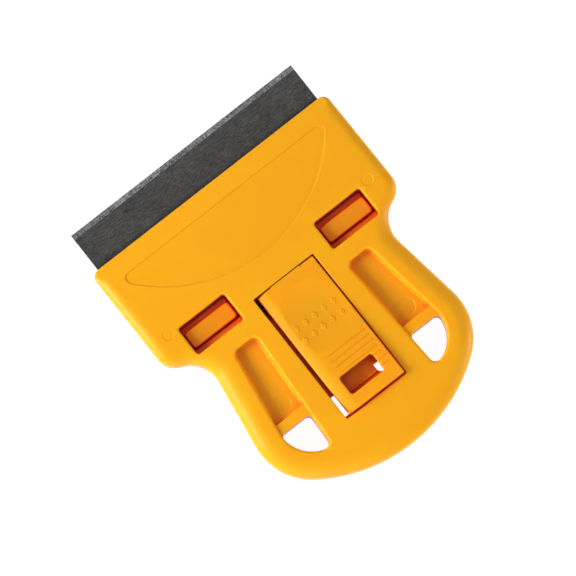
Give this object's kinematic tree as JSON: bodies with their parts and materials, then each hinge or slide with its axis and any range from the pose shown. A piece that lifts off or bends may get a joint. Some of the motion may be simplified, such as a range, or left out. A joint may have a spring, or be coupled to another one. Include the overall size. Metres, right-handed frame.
{
  "type": "hob scraper",
  "caption": "Flat plastic hand scraper for ceramic hobs: wide head with a steel blade, waisted handle with teardrop openings and a clamp lever in its face.",
  "frame": {"origin": "middle of the bounding box on the back face, on which the scraper lies", "axes": "+X along the cutting edge, +Y from the handle towards the cutting edge, +Z out of the lever face"},
  "size_m": [0.1062, 0.134, 0.014],
  "materials": {
    "shell_plastic": "moulded orange-yellow plastic, soft gloss",
    "lever_plastic": "moulded orange-yellow plastic, soft gloss",
    "plate_plastic": "moulded orange plastic",
    "blade_steel": "dark blued spring steel with fine lengthwise grain and a brighter ground bevel",
    "fastener_steel": "zinc plated"
  },
  "bodies": {
    "body": {"front_shell": "shell_plastic", "rear_shell": "shell_plastic", "hinge_pin": "fastener_steel", "head_screws": "fastener_steel", "handle_screws": "fastener_steel"},
    "lever": {"clamp_lever": "lever_plastic"},
    "plate": {"clamp_plate": "plate_plastic"},
    "blade": {"blade": "blade_steel"}
  },
  "joints": [
    {"name": "lever_hinge", "type": "hinge", "parent": "body", "child": "lever", "pos_m": [0.0005, 0.00485, 0.009], "axis": [-1, 0, 0], "range_deg": [0, 90]},
    {"name": "plate_lift", "type": "slide", "parent": "body", "child": "plate", "axis": [0, 0, 1], "range_m": [0, 0.0006]},
    {"name": "blade_slide", "type": "slide", "parent": "body", "child": "blade", "axis": [0, 1, 0], "range_m": [-0.0157, 0]}
  ],
  "couplings": [
    {"joint": "plate_lift", "follows": "lever_hinge", "m_per_rad": 0.00038}
  ]
}
